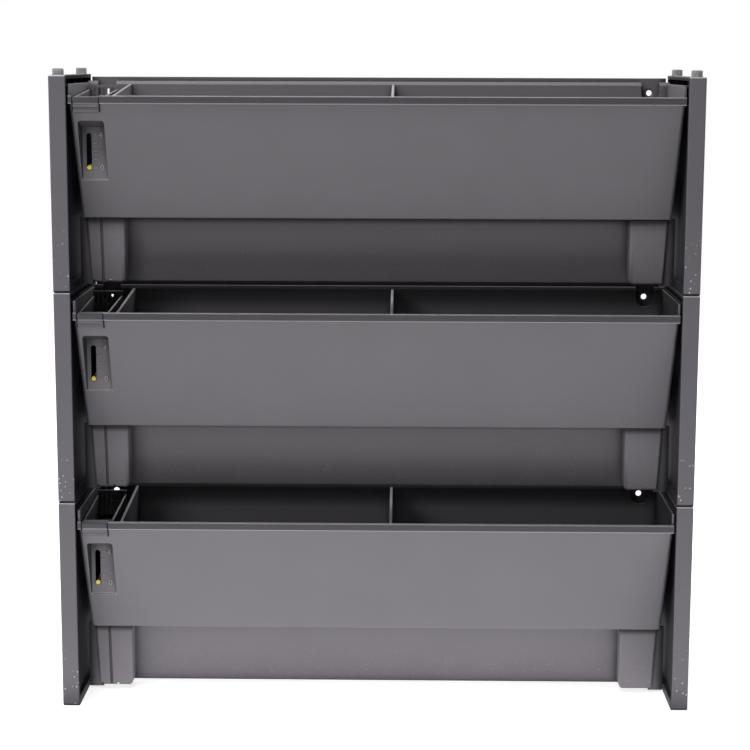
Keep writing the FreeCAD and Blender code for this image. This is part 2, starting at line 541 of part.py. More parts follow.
def make_trough(tier):
    """Tub with a slanted front, drafted ends, gauge recess, partition, divider and overflow."""
    body = new_body(tier, "trough")
    rim_back = f"({face_y(RIM_TOP)} + trough_wall)"
    back_outside = f"{TROUGH_BACK} + trough_wall"
    rear_slope_foot = f"{REAR_RIM_TOP} - rear_rim_chamfer"
    rear_rim_back = f"{PLATE_FRONT} - rear_rim_gap"
    profile = [(face_y(RIM_TOP), RIM_TOP), ("face_foot_setback", "shelf_height"),
               (back_outside, "shelf_height"), (back_outside, f"{REAR_RIM_TOP} - trough_wall"),
               (rear_rim_back, f"{REAR_RIM_TOP} - trough_wall"), (rear_rim_back, REAR_RIM_TOP),
               (f"{TROUGH_BACK} + rear_rim_chamfer", REAR_RIM_TOP), (TROUGH_BACK, rear_slope_foot),
               (rim_back, RIM_TOP)]
    pad(body, "YZ", "profile", [profile], f"-{TROUGH_HALF}", f"2 * {TROUGH_HALF}")
    wedge = [(end_x("shelf_height"), "shelf_height"), (TROUGH_HALF, "shelf_height"), (TROUGH_HALF, END_TOP)]
    drafted = pocket(body, "XZ", "draft", both_sides(wedge), "panel_depth", "panel_depth")
    foot_x = amount(f"{end_x('shelf_height')} - trough_wall")
    face_depth = amount(f"face_foot_setback - {face_y(RIM_TOP)}")
    cornered = dress(body, "Fillet", "front_corners", drafted,
                     lambda edge: abs(edge.BoundBox.YLength - face_depth) < 1e-3
                     and min(abs(edge.BoundBox.XMin), abs(edge.BoundBox.XMax)) > foot_x,
                     "Radius", "trough_corner_radius")
    under = on_plane("z", "shelf_height")
    at_back = on_plane("y", back_outside)
    dress(body, "Fillet", "foot_edges", cornered,
          lambda edge: under(edge) and not at_back(edge), "Radius", "trough_foot_radius")

    end_outer = end_x(RIM_FOOT)
    end_block = "(trough_draft + 2 * trough_wall)"
    end_top = [(rim_back, f"{RIM_TOP} - trough_wall"), (TROUGH_BACK, f"{rear_slope_foot} - trough_wall"),
               (TROUGH_BACK, END_TOP), (rim_back, END_TOP)]
    pad(body, "YZ", "left_end", [end_top], f"-{end_outer}", end_block)
    pad(body, "YZ", "right_end", [end_top], f"{end_outer} - {end_block}", end_block)
    rim = rectangle("rim_setback", "face_top_setback + trough_corner_radius", RIM_FOOT, RIM_TOP)
    rim_bar = pad(body, "YZ", "rim", [rim], f"-{end_outer}", f"2 * {end_outer}")
    rim_front = on_plane("y", "rim_setback")
    dress(body, "Fillet", "rim_edges", rim_bar,
          lambda edge: rim_front(edge) and edge.BoundBox.ZLength < 1e-4, "Radius", "rim_radius")

    def level_outline(left, right, height):
        front = f"{face_y(height)} + trough_wall"
        return rectangle(left(height), right(height), front, TROUGH_BACK)

    left_end = lambda height: f"-{end_x(height)} + trough_wall"
    right_end = lambda height: f"{end_x(height)} - trough_wall"
    spaces = (("filler", left_end, lambda height: PARTITION_LEFT),
              ("left_bay", lambda height: PARTITION_RIGHT, lambda height: DIVIDER_LEFT),
              ("right_bay", lambda height: DIVIDER_RIGHT, right_end))
    for name, left, right in spaces:
        low = level_outline(left, right, TROUGH_FLOOR_TOP)
        high = level_outline(left, right, "tier_height")
        hollow(body, name, low, TROUGH_FLOOR_TOP, high, "tier_height")

    passage = rectangle(PASSAGE_FRONT, f"{PASSAGE_FRONT} + passage_width",
                        TROUGH_FLOOR_TOP, f"{TROUGH_FLOOR_TOP} + passage_height")
    pocket(body, "YZ", "partition_passage", [passage], PARTITION_LEFT, "trough_wall")
    pocket(body, "YZ", "divider_passage", [passage], DIVIDER_LEFT, "trough_wall")

    plate_inside = f"{GAUGE_PLATE} + trough_wall"
    ceiling = f"({GAUGE_TOP} - gauge_ceiling)"
    housing_top = f"({GAUGE_TOP} + trough_wall)"
    housing = [(f"{face_y(housing_top)} + trough_wall / 2", housing_top),
               (plate_inside, f"{ceiling} + trough_wall"), (plate_inside, GAUGE_FOOT),
               (f"{face_y(GAUGE_FOOT)} + trough_wall / 2", GAUGE_FOOT)]
    pad(body, "YZ", "gauge_housing", [housing], f"{GAUGE_LEFT} - trough_wall",
        "gauge_width + 2 * trough_wall")
    recess = arch(GAUGE_LEFT, GAUGE_RIGHT, GAUGE_FOOT, GAUGE_TOP, "gauge_corner_radius")
    pocket(body, "XZ", "gauge_recess", [recess], GAUGE_PLATE, GAUGE_PLATE)
    slope = [(f"{face_y(GAUGE_TOP)} + trough_wall / 2", GAUGE_TOP), (GAUGE_PLATE, ceiling),
             (GAUGE_PLATE, GAUGE_TOP)]
    recessed = pad(body, "YZ", "gauge_ceiling", [slope], GAUGE_LEFT, "gauge_width")
    on_gauge = on_plane("y", GAUGE_PLATE)
    dress(body, "Fillet", "gauge_corners", recessed,
          lambda edge: on_gauge(edge) and edge.BoundBox.XLength < 1e-4, "Radius", "gauge_radius")
    slot = Obround(SLOT_MIDDLE, "slot_width", SLOT_FOOT, f"{SLOT_FOOT} + slot_height")
    pocket(body, "XZ", "gauge_slot", [slot], plate_inside, "trough_wall")

    lip_notch = rectangle(f"{LIP_LEFT} - lip_clearance", f"{LIP_RIGHT} + lip_clearance", LIP_FOOT, RIM_TOP)
    pocket(body, "XZ", "lip_notch", [lip_notch], f"{face_y(LIP_FOOT)} + trough_wall",
           f"{face_y(LIP_FOOT)} + trough_wall")
    rear_notch = Obround(HOLE_X, "rear_notch_width", f"{HOLE_Z} - rear_notch_width / 2",
                         "tier_height + rear_notch_width")
    pocket(body, "XZ", "rear_notches", both_sides(rear_notch), PLATE_FRONT, "trough_back_gap")

    pipe = Disc(PIPE_X, PIPE_Y, "pipe_diameter / 2")
    bore = Disc(PIPE_X, PIPE_Y, "pipe_bore / 2")
    pad(body, "XY", "overflow_pipe", [pipe], TROUGH_FLOOR_TOP, "water_depth")
    pocket(body, "XY", "overflow_bore", [bore], "shelf_height", "trough_floor + water_depth")
    return body


def make_filler_insert(tier):
    """Stepped lip that seats in the rim, side walls, grid at the back and the float's guide."""
    body = new_body(tier, "filler_insert")
    wall_back = "insert_front + insert_wall"
    lip_back = f"{face_y(LIP_FOOT)} + trough_wall"
    bead_foot = f"{LIP_TOP} - lip_bead"
    step_foot = f"({LIP_FOOT} + {bead_foot}) / 2"
    second = "rim_setback + lip_step"
    third = "rim_setback + 2 * lip_step"
    lip = [("rim_setback", LIP_TOP), ("rim_setback", bead_foot), (second, bead_foot), (second, step_foot),
           (third, step_foot), (third, LIP_FOOT), (lip_back, LIP_FOOT), (lip_back, bead_foot),
           (wall_back, bead_foot), (wall_back, LIP_TOP)]
    lip_pad = pad(body, "YZ", "lip", [lip], LIP_LEFT, "lip_width")
    bead = on_plane("y", "rim_setback")
    dress(body, "Fillet", "lip_edges", lip_pad,
          lambda edge: bead(edge) and edge.BoundBox.ZLength < 1e-4, "Radius", "lip_radius")

    width = f"{INSERT_RIGHT} - {INSERT_LEFT}"
    front_wall = rectangle("insert_front", wall_back, INSERT_FOOT, LIP_TOP)
    pad(body, "YZ", "front_wall", [front_wall], INSERT_LEFT, width)
    grid_front = f"{INSERT_BACK} - insert_wall"
    side = [("insert_front", INSERT_FOOT), (INSERT_BACK, INSERT_FOOT),
            (INSERT_BACK, f"{LIP_TOP} + insert_rise"), ("insert_front", LIP_TOP)]
    pad(body, "YZ", "left_side", [side], INSERT_LEFT, "insert_wall")
    pad(body, "YZ", "right_side", [side], f"{INSERT_RIGHT} - insert_wall", "insert_wall")
    grid = rectangle(grid_front, INSERT_BACK, INSERT_FOOT, GRID_TOP)
    pad(body, "YZ", "grid", [grid], INSERT_LEFT, width)
    first_slot = f"({INSERT_LEFT} + {INSERT_RIGHT} - grid_pitch * (grid_count - 1) - grid_slot) / 2"
    opening = rectangle(first_slot, f"{first_slot} + grid_slot",
                        f"{INSERT_FOOT} + grid_margin", f"{GRID_TOP} - grid_margin")
    slot = pocket(body, "XZ", "grid_slot", [opening], INSERT_BACK, "insert_wall")
    row(body, "grid_slots", [slot], "X", "grid_pitch * (grid_count - 1)", "grid_count")

    bar = rectangle("guide_setback - guide_bar_width / 2", "guide_setback + guide_bar_width / 2",
                    INSERT_FOOT, f"{INSERT_FOOT} + guide_bar_height")
    pad(body, "YZ", "guide_bar", [bar], INSERT_LEFT, width)
    guide = Disc(PIPE_X, "guide_setback", "guide_diameter / 2")
    pad(body, "XY", "guide", [guide], TROUGH_FLOOR_TOP, f"{INSERT_FOOT} - {TROUGH_FLOOR_TOP}")
    return body


def make_float(tier):
    """Foam block that rises on its guide with the water."""
    body = new_body(tier, "float")
    outline = rectangle(f"{PIPE_X} - float_width / 2", f"{PIPE_X} + float_width / 2",
                        "guide_setback - float_depth / 2", "guide_setback + float_depth / 2")
    block = pad(body, "XY", "block", [outline], TROUGH_FLOOR_TOP, "float_height")
    dress(body, "Fillet", "corners", block,
          lambda edge: edge.BoundBox.ZLength > 1e-3, "Radius", "float_radius")
    bore = Disc(PIPE_X, "guide_setback", "guide_diameter / 2 + float_clearance")
    pocket(body, "XY", "bore", [bore], TROUGH_FLOOR_TOP, "float_height")
    return body


def make_gauge_arm(tier):
    """Yellow arm on the float: foot, upright stem and the tip that shows in the gauge slot."""
    body = new_body(tier, "gauge_arm")
    float_top = f"{TROUGH_FLOOR_TOP} + float_height"
    front = "guide_setback - float_depth / 2 + arm_margin"
    foot = rectangle(f"{PIPE_X} - float_width / 2 + arm_margin", f"{PIPE_X} + float_width / 2 - arm_margin",
                     front, "guide_setback + float_depth / 2 - arm_margin")
    pad(body, "XY", "foot", [foot], float_top, "arm_base")
    bore = Disc(PIPE_X, "guide_setback", "guide_diameter / 2 + float_clearance")
    pocket(body, "XY", "bore", [bore], float_top, "arm_base")
    pin_radius = "(slot_width / 2 - arm_clearance)"
    pin_height = f"({SLOT_FOOT} + slot_width / 2)"
    stem_back = f"{front} + arm_thickness"
    stem = rectangle(front, stem_back, float_top, f"{pin_height} + {pin_radius}")
    pad(body, "YZ", "stem", [stem], f"{SLOT_MIDDLE} - {pin_radius}", f"2 * {pin_radius}")
    pin = Disc(SLOT_MIDDLE, pin_height, pin_radius)
    pad(body, "XZ", "pin", [pin], stem_back, f"{stem_back} - {GAUGE_PLATE} + arm_proud")
    return body


def make_grate(tier, side, left, right):
    """Slotted floor of a planting bay, standing over the water on two wicking cups."""
    body = new_body(tier, f"{side}_grate")
    front = f"{face_y(WATER_LEVEL)} + trough_wall + grate_gap"
    back = f"{TROUGH_BACK} - grate_gap"
    pad(body, "XY", "plate", [rectangle(left, right, front, back)], WATER_LEVEL, "grate_thickness")

    cup_y = f"({front} + {back}) / 2"
    cup_x = f"{left} + cup_inset"
    cup_step = f"({right}) - ({left}) - 2 * cup_inset"
    top = f"{WATER_LEVEL} + grate_thickness"
    section = [("0", TROUGH_FLOOR_TOP), ("cup_foot_diameter / 2", TROUGH_FLOOR_TOP),
               ("cup_diameter / 2", top), ("cup_diameter / 2 - cup_wall", top),
               ("cup_foot_diameter / 2 - cup_wall", f"{TROUGH_FLOOR_TOP} + cup_wall"),
               ("0", f"{TROUGH_FLOOR_TOP} + cup_wall")]
    cup = body.newObject("PartDesign::Revolution", f"{body.Name}_cup")
    cup.Profile = new_sketch(body, "XZ", "cup", [section], cup_y, shift=cup_x)
    cup.ReferenceAxis = (cup.Profile[0], ["V_Axis"])
    cup.Angle = 360
    body.Tip = cup
    mouth_disc = Disc(cup_x, cup_y, "cup_diameter / 2 - cup_wall")
    mouth = pocket(body, "XY", "mouth", [mouth_disc], WATER_LEVEL, "grate_thickness")
    slot_foot = f"{TROUGH_FLOOR_TOP} + 2 * cup_wall"
    cup_slot = rectangle(f"{cup_x} - cup_slot_width / 2", f"{cup_x} + cup_slot_width / 2",
                         slot_foot, f"{slot_foot} + cup_slot_height")
    water_slot = pocket(body, "XZ", "water_slot", [cup_slot], f"{cup_y} + cup_diameter / 2", "cup_diameter")
    row(body, "cups", [cup, mouth, water_slot], "X", cup_step, "2")

    span = "grate_slot_pitch * (grate_slot_count - 1)"
    first = f"(({left}) + ({right}) - {span} - grate_slot_width) / 2"
    opening = rectangle(first, f"{first} + grate_slot_width",
                        f"{front} + grate_slot_margin", f"{back} - grate_slot_margin")
    slot = pocket(body, "XY", "slot", [opening], WATER_LEVEL, "grate_thickness")
    row(body, "slots", [slot], "X", span, "grate_slot_count")
    return body


def make_panel_screws(tier):
    """Four screws through the lugs into the bosses of the rear panel."""
    body = new_body(tier, "panel_screws")
    body.AllowCompound = True
    shanks = []
    heads = []
    for z in ("lug_low", "lug_low + lug_spacing"):
        shanks += both_sides(Disc(SCREW_X, z, "screw_diameter / 2"))
        heads += both_sides(Disc(SCREW_X, z, "screw_head_diameter / 2"))
    head_back = f"{LUG_BACK} + screw_head_height"
    head = pad(body, "XZ", "heads", heads, head_back, "screw_head_height")
    dress(body, "Fillet", "head_edges", head, on_plane("y", head_back), "Radius", "screw_head_height / 2")
    pad(body, "XZ", "shanks", shanks, LUG_BACK, "lug_thickness + screw_bite")
    return body


def make_tier(tier):
    """All sub-parts of one tier."""
    left_panel = make_left_panel(tier)
    left_bay = (f"{PARTITION_RIGHT} + grate_gap", f"{DIVIDER_LEFT} - grate_gap")
    right_bay = (f"{DIVIDER_RIGHT} + grate_gap", f"{end_x(WATER_LEVEL)} - trough_wall - grate_gap")
    return [left_panel, make_right_panel(tier, left_panel), make_rear_panel(tier), make_trough(tier),
            make_filler_insert(tier), make_float(tier), make_gauge_arm(tier),
            make_grate(tier, "left", *left_bay), make_grate(tier, "right", *right_bay),
            make_panel_screws(tier)]


pieces = [piece for tier in TIERS for piece in make_tier(tier)]
doc.recompute()

faults = [item.Name for item in doc.Objects if {"Invalid", "Error"} & set(item.State)]
faults += [piece.Label for piece in pieces if piece.Shape.isNull() or not piece.Shape.isValid()]
if faults:
    raise RuntimeError("failed objects: " + ", ".join(faults))

os.makedirs("parts", exist_ok=True)
for piece in pieces:
    piece.Shape.exportStep(f"parts/{piece.Label}.step")
    print(f"{piece.Label}: {len(piece.Shape.Solids)} solid(s), {piece.Shape.Volume / 1000:.2f} cm3")
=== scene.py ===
"""Looks of the stacking wall planter: moulded plastic finishes, gauge scales, floats, screws and
the studio."""
import math

import bpy
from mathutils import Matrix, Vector


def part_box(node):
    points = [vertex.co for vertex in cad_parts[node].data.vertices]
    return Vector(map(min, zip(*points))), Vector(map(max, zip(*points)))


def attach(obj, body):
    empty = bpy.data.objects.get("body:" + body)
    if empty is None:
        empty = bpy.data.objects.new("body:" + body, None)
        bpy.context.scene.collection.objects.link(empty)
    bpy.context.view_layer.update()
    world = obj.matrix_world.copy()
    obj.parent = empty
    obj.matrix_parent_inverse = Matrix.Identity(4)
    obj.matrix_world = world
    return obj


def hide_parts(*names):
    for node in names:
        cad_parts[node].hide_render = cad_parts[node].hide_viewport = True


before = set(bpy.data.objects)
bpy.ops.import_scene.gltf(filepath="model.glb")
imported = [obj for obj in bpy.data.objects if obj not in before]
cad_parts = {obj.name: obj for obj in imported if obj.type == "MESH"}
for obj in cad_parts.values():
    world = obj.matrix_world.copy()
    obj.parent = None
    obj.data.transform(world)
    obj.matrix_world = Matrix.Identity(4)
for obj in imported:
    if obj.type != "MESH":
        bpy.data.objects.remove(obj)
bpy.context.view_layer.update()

bl_info = {
    "name": "Stacking wall planter",
    "version": (1, 0, 0),
    "blender": (4, 5, 0),
    "location": "View3D > Sidebar > Planter",
    "description": "Finishes and small pieces of a three-tier stacking wall planter",
    "category": "Object",
}

TIERS = ("lower", "middle", "upper")
TIER_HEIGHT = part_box("middle_left_panel")[0].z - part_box("lower_left_panel")[0].z
MM = 0.001
# Points nearer than this are at one place.
HAIR = 1e-6


def limits_mm(**spans):
    """Limits of a place on a tier, given in millimetres."""
    return {part: (low * MM, high * MM) for part, (low, high) in spans.items()}


def fade(start, end, low=0.0, high=1.0):
    """Settings that take a value from low to high while another goes from start to end."""
    return {"From Min": start, "From Max": end, "To Min": low, "To Max": high}


def fade_mm(start, end, low=0.0, high=1.0):
    """The same along a place given in millimetres."""
    return fade(start * MM, end * MM, low, high)


# Which way a surface faces, by limits of its normal.
FACING_FRONT = {"normal_y": (-1.1, -0.6)}
FACING_LEFT = {"normal_x": (-1.1, -0.6)}
FACING_RIGHT = {"normal_x": (0.5, 1.1)}
FACING_DOWN = {"normal_z": (-1.1, -0.4)}
NOT_LEFT_FRONT_OR_UP = {"normal_x": (-0.6, 1.1), "normal_y": (-0.6, 1.1), "normal_z": (-1.1, 0.6)}

# Tiers with another one on top, and those that hang over another one.
COVERED = {"height": (-TIER_HEIGHT, (len(TIERS) - 1) * TIER_HEIGHT)}
RAISED = {"height": (0.9 * TIER_HEIGHT, (len(TIERS) + 1) * TIER_HEIGHT)}

# Places on a tier: across and deep from its middle, reach and setback the same on both sides, up
# from its foot.
PANEL_RECESS = limits_mm(reach=(284.2, 298), deep=(-70, 70), up=(2, 198))
PEG = limits_mm(reach=(286.6, 297.4), setback=(58.6, 69.4), up=(0, 6.2))
UNDER_SHELF = limits_mm(up=(0, 68))
SKIRT = limits_mm(reach=(0, 243))
RIM_FACE = limits_mm(deep=(-74, -69.5), up=(174.9, 180.5))
RIM_TOP = limits_mm(deep=(-74, -66), up=(180.5, 182.5))
RIM_FOOT = limits_mm(deep=(-74, -66), up=(173.8, 174.9))
GAUGE_RECESS = limits_mm(across=(-275.9, -250.6), deep=(-74, -41.3), up=(102, 159.5))
GAUGE_SILL = limits_mm(across=(-275.6, -250.9), deep=(-44, -41), up=(102.4, 103.9))
GAUGE_PLATE = limits_mm(across=(-275.6, -250.9), deep=(-42, -41), up=(103, 153))
FLOAT_CHAMBER = limits_mm(across=(-279, -248), deep=(-40, 30), up=(103.2, 165))
REAR_WALL = limits_mm(deep=(25, 62))
REAR_WALL_INSIDE = limits_mm(deep=(25, 62), up=(100, 194))
RIGHT_END_WALL = limits_mm(across=(268, 283), up=(105, 195))
FILLER = limits_mm(across=(-284, -236), deep=(-62, 62), up=(120, 198))

# Rows of painted shade, painted highlight and wear: a share, fades along parts of a place, and limits of
# parts of a place.
# Painted shade stronger on the left panel than the right: the light from the left does not reach the left
# panel's inner faces.
LEFT_MORE_THAN_RIGHT = {"across": fade_mm(-1, 1, 0.95, 0.8)}
SIDE_PANEL_PAINTED_SHADE = (
    # Painted shade, near black, on the faces turned to the trough and round their recess.
    (1.0, {"outward": fade(-0.5, -0.9)} | LEFT_MORE_THAN_RIGHT, {}),
    (1.0, LEFT_MORE_THAN_RIGHT, PANEL_RECESS),
)
REAR_PANEL_PAINTED_SHADE = (
    # Painted shade, growing over the 10 mm from a leg to the side panel.
    (0.85, {"reach": fade_mm(271.5, 281)}, {}),
    # Painted shadow under the foot of the trough.
    (0.75, {"up": fade_mm(58.5, 63)}, UNDER_SHELF),
    # Painted shade low on the skirts of the tiers that hang over another, darker towards the bottom.
    (0.38, {"up": fade_mm(34, 4)}, RAISED | SKIRT),
)
TROUGH_DARKENING = (
    # Darker on the front of the rim, which is 7.5 mm tall.
    (0.5, {}, RIM_FACE),
    # Painted shade under the ceiling and beside the left wall of the gauge recess.
    (0.62, {}, GAUGE_RECESS | FACING_DOWN),
    (0.75, {}, GAUGE_RECESS | FACING_RIGHT),
    # Painted shade, near black, in the float chamber.
    (0.97, {}, FLOAT_CHAMBER),
    # Painted shade under another tier: near the brim, on the right end wall and round the filler.
    (0.5, {"up": fade_mm(169, 180)}, REAR_WALL | COVERED | FACING_FRONT),
    (0.8, {}, RIGHT_END_WALL | COVERED | FACING_LEFT),
    (0.68, {}, FILLER | COVERED | NOT_LEFT_FRONT_OR_UP),
)
JOINT_PAINTED_SHADOW = (
    # Painted shadow: a dark line along a tier's foot.
    (1.1, {"up": fade_mm(2.2, 1.5)}, {}),
)
TIER_SCUFFS_AND_TOP_HIGHLIGHT = (
    # Specks of about a millimetre on the front, in clusters, thickest above a joint between tiers.
    (1.0, {"speck": fade(0.24, 0.12), "up": fade_mm(8, 65, 1.0, 0.05)},
     {"chance": (0.3, 1.1), "cluster": (0.43, 1.1)} | FACING_FRONT),
    # Painted highlight along a tier's top edge, and less on the flat top.
    (1.0, {"up": fade(TIER_HEIGHT - 1.6 * MM, TIER_HEIGHT - 0.7 * MM),
           "normal_z": fade(0.8, 0.97, 1.0, 0.22)}, {}),
)
TROUGH_HIGHLIGHTS = (
    # Painted highlight on the top and foot of a trough's rim and on the sill of its gauge, and paler on the
    # gauge plate.
    (1.0, {}, RIM_TOP),
    (1.0, {}, RIM_FOOT),
    (2.0, {}, GAUGE_SILL),
    (0.3, {}, GAUGE_PLATE),
    # Painted light: paler on the inside of the rear wall.
    (0.4, {}, REAR_WALL_INSIDE | FACING_FRONT),
)
# Pegs: paler, and without painted shade.
PEGS = (
    (1.0, {}, PEG),
)
PEG_PALING = 0.3

# Paler edges by the turn of the surface, wear and painted highlight; painted shade in creases by the open air
# over them; and sheen that painted shade takes away.
EDGE_WEAR_AND_HIGHLIGHT = fade(0.995, 0.8, 0.0, 0.35)
CREASE_SHADE = fade(0.8, 0.3, 0.0, 0.9)
SHEEN_UNDER_PAINTED_SHADE = fade(0.0, 1.0, 0.3, 0.02)
PALE_SCUFF_AND_HIGHLIGHT = "#E2E0E2"
# Colour of the painted shade.
PAINTED_SHADE_COLOUR = "#141418"
PLASTIC_IOR = 1.49
FOAM_IOR = 1.55


def linear(hex_colour):
    """Linear RGBA of an sRGB hex colour."""
    parts = [int(hex_colour[i:i + 2], 16) / 255 for i in (1, 3, 5)]
    return [c / 12.92 if c <= 0.04045 else ((c + 0.055) / 1.055) ** 2.4 for c in parts] + [1.0]


def tinted(colour, times):
    """A linear colour made darker or paler."""
    return [channel * times for channel in colour[:3]] + [1.0]


def add(tree, kind, inputs=None, **settings):
    """Add a shader node with its settings; inputs holds values or other nodes' outputs by socket."""
    node = tree.nodes.new(kind)
    for name, value in settings.items():
        setattr(node, name, value)
    for socket, value in (inputs or {}).items():
        if isinstance(value, bpy.types.NodeSocket):
            tree.links.new(value, node.inputs[socket])
        else:
            node.inputs[socket].default_value = value
    return node


def new_material(name):
    """Empty node material, with the place on a piece that its patterns follow."""
    material = bpy.data.materials.new(name)
    material.use_nodes = True
    tree = material.node_tree
    tree.nodes.clear()
    return material, tree, add(tree, "ShaderNodeTexCoord").outputs["Object"]


def tier_spot(tree, place, normal):
    """Parts of a place on a tier and of the way that the surface faces there."""
    across, deep, height = add(tree, "ShaderNodeSeparateXYZ", {0: place}).outputs
    normal_x, normal_y, normal_z = add(tree, "ShaderNodeSeparateXYZ", {0: normal}).outputs
    # A tier's top belongs to it, and not to the foot of the next.
    lowered = add(tree, "ShaderNodeMath", {0: height, 1: 0.1 * MM}, operation="SUBTRACT")
    up = add(tree, "ShaderNodeMath", {0: lowered.outputs[0], 1: TIER_HEIGHT}, operation="FLOORED_MODULO")
    side = add(tree, "ShaderNodeMath", {0: across}, operation="SIGN")
    outward = add(tree, "ShaderNodeMath", {0: normal_x, 1: side.outputs[0]}, operation="MULTIPLY")
    reach = add(tree, "ShaderNodeMath", {0: across}, operation="ABSOLUTE")
    setback = add(tree, "ShaderNodeMath", {0: deep}, operation="ABSOLUTE")
    return {"across": across, "deep": deep, "height": height, "up": up.outputs[0],
            "reach": reach.outputs[0], "setback": setback.outputs[0], "outward": outward.outputs[0],
            "normal_x": normal_x, "normal_y": normal_y, "normal_z": normal_z}


def layered(tree, spot, *tables):
    """Share of painted shade, painted highlight and wear at a spot: the strongest row of several tables, each
    at its strength.
    """
    strongest = 0.0
    for rows, strength in tables:
        for share, fades, limits in rows if strength else ():
            share *= strength
            factors = [add(tree, "ShaderNodeMapRange", {"Value": spot[part], **course})
                       for part, course in fades.items()]
            factors += [add(tree, "ShaderNodeMath", {0: spot[part], 1: (low + high) / 2, 2: (high - low) / 2},
                            operation="COMPARE") for part, (low, high) in limits.items()]
            for factor in factors:
                share = add(tree, "ShaderNodeMath", {0: share, 1: factor.outputs[0]},
                            operation="MULTIPLY").outputs[0]
            strongest = add(tree, "ShaderNodeMath", {0: strongest, 1: share}, operation="MAXIMUM").outputs[0]
    return strongest


def charcoal_polypropylene(name, colour, roughness, scuffs_and_joint_light, creases, darkening, trough_highlight=0.0):
    """Injection-moulded polypropylene, charcoal: dull from a fine eroded grain, faint flow clouds,
    paler at edges from wear and painted highlight, pale specks where tiers knock against each other,
    painted highlights on tops, rims and gauges, and painted shade in creases and gaps up to a width."""
    material, tree, place = new_material(name)
    normal = add(tree, "ShaderNodeNewGeometry").outputs["Normal"]
    spot = tier_spot(tree, place, normal)
    # Flow clouds about 70 mm across, and grain of 0.5 mm drawn at 1.4 mm so that it shows.
    cloud = add(tree, "ShaderNodeTexNoise", {"Vector": place, "Scale": 1 / (70 * MM), "Detail": 3.0})
    grain = add(tree, "ShaderNodeTexNoise", {"Vector": place, "Scale": 1 / (1.4 * MM), "Detail": 2.0})
    body = add(tree, "ShaderNodeMix", {0: cloud.outputs["Fac"], 6: tinted(colour, 0.93),
                                      7: tinted(colour, 1.07)}, data_type="RGBA")

    # Paler edges where the surface turns within about a millimetre: wear and painted highlight.
    soft = add(tree, "ShaderNodeBevel", {"Radius": 1.0 * MM}, samples=4)
    turn = add(tree, "ShaderNodeVectorMath", {0: soft.outputs[0], 1: normal}, operation="DOT_PRODUCT")
    edge = add(tree, "ShaderNodeMapRange", {"Value": turn.outputs["Value"], **EDGE_WEAR_AND_HIGHLIGHT})
    worn_and_highlit = add(tree, "ShaderNodeMix", {0: edge.outputs[0], 6: body.outputs[2], 7: tinted(colour, 1.9)},
               data_type="RGBA")

    # Specks of wear in cells of 4 mm and clusters of 14 mm; painted highlight on tops, rims and gauges; paler
    # pegs.
    cells = add(tree, "ShaderNodeTexVoronoi", {"Vector": place, "Scale": 1 / (4 * MM)})
    patch = add(tree, "ShaderNodeTexNoise", {"Vector": place, "Scale": 1 / (14 * MM)})
    spot["speck"] = cells.outputs["Distance"]
    spot["chance"] = add(tree, "ShaderNodeSeparateColor", {0: cells.outputs["Color"]}).outputs["Red"]
    spot["cluster"] = patch.outputs["Fac"]
    scuff_and_highlight = layered(tree, spot, (TIER_SCUFFS_AND_TOP_HIGHLIGHT, scuffs_and_joint_light), (TROUGH_HIGHLIGHTS, trough_highlight), (PEGS, PEG_PALING))
    scuffed_and_highlit = add(tree, "ShaderNodeMix", {0: scuff_and_highlight, 6: worn_and_highlit.outputs[2], 7: linear(PALE_SCUFF_AND_HIGHLIGHT)},
                  data_type="RGBA")

    # Painted shade in creases, painted shadow along a tier's foot, painted shade in the shaded places of each
    # piece, and none on the pegs.
    open_air = add(tree, "ShaderNodeAmbientOcclusion", {"Distance": creases}, samples=6)
    crease = add(tree, "ShaderNodeMapRange", {"Value": open_air.outputs["AO"], **CREASE_SHADE})
    shade_by_place = layered(tree, spot, (JOINT_PAINTED_SHADOW, scuffs_and_joint_light), (darkening, 1.0))
    strongest_shade = add(tree, "ShaderNodeMath", {0: crease.outputs[0], 1: shade_by_place}, operation="MAXIMUM")
    painted_shade = add(tree, "ShaderNodeMath", {0: strongest_shade.outputs[0], 1: layered(tree, spot, (PEGS, 1.0))},
                 operation="SUBTRACT", use_clamp=True)
    surface = add(tree, "ShaderNodeMix", {0: painted_shade.outputs[0], 6: scuffed_and_highlit.outputs[2], 7: linear(PAINTED_SHADE_COLOUR)},
                  data_type="RGBA")

    gloss = add(tree, "ShaderNodeMapRange", {"Value": grain.outputs["Fac"],
                                            **fade(0.3, 0.7, roughness - 0.05, roughness + 0.06)})
    sheen = add(tree, "ShaderNodeMapRange", {"Value": painted_shade.outputs[0], **SHEEN_UNDER_PAINTED_SHADE})
    bump = add(tree, "ShaderNodeBump", {"Strength": 0.25, "Distance": 0.05 * MM,
                                       "Height": grain.outputs["Fac"], "Normal": soft.outputs[0]})
    shader = add(tree, "ShaderNodeBsdfPrincipled", {"Base Color": surface.outputs[2],
                                                   "Roughness": gloss.outputs[0], "IOR": PLASTIC_IOR,
                                                   "Specular IOR Level": sheen.outputs[0],
                                                   "Normal": bump.outputs[0]})
    add(tree, "ShaderNodeOutputMaterial", {"Surface": shader.outputs[0]})
    return material


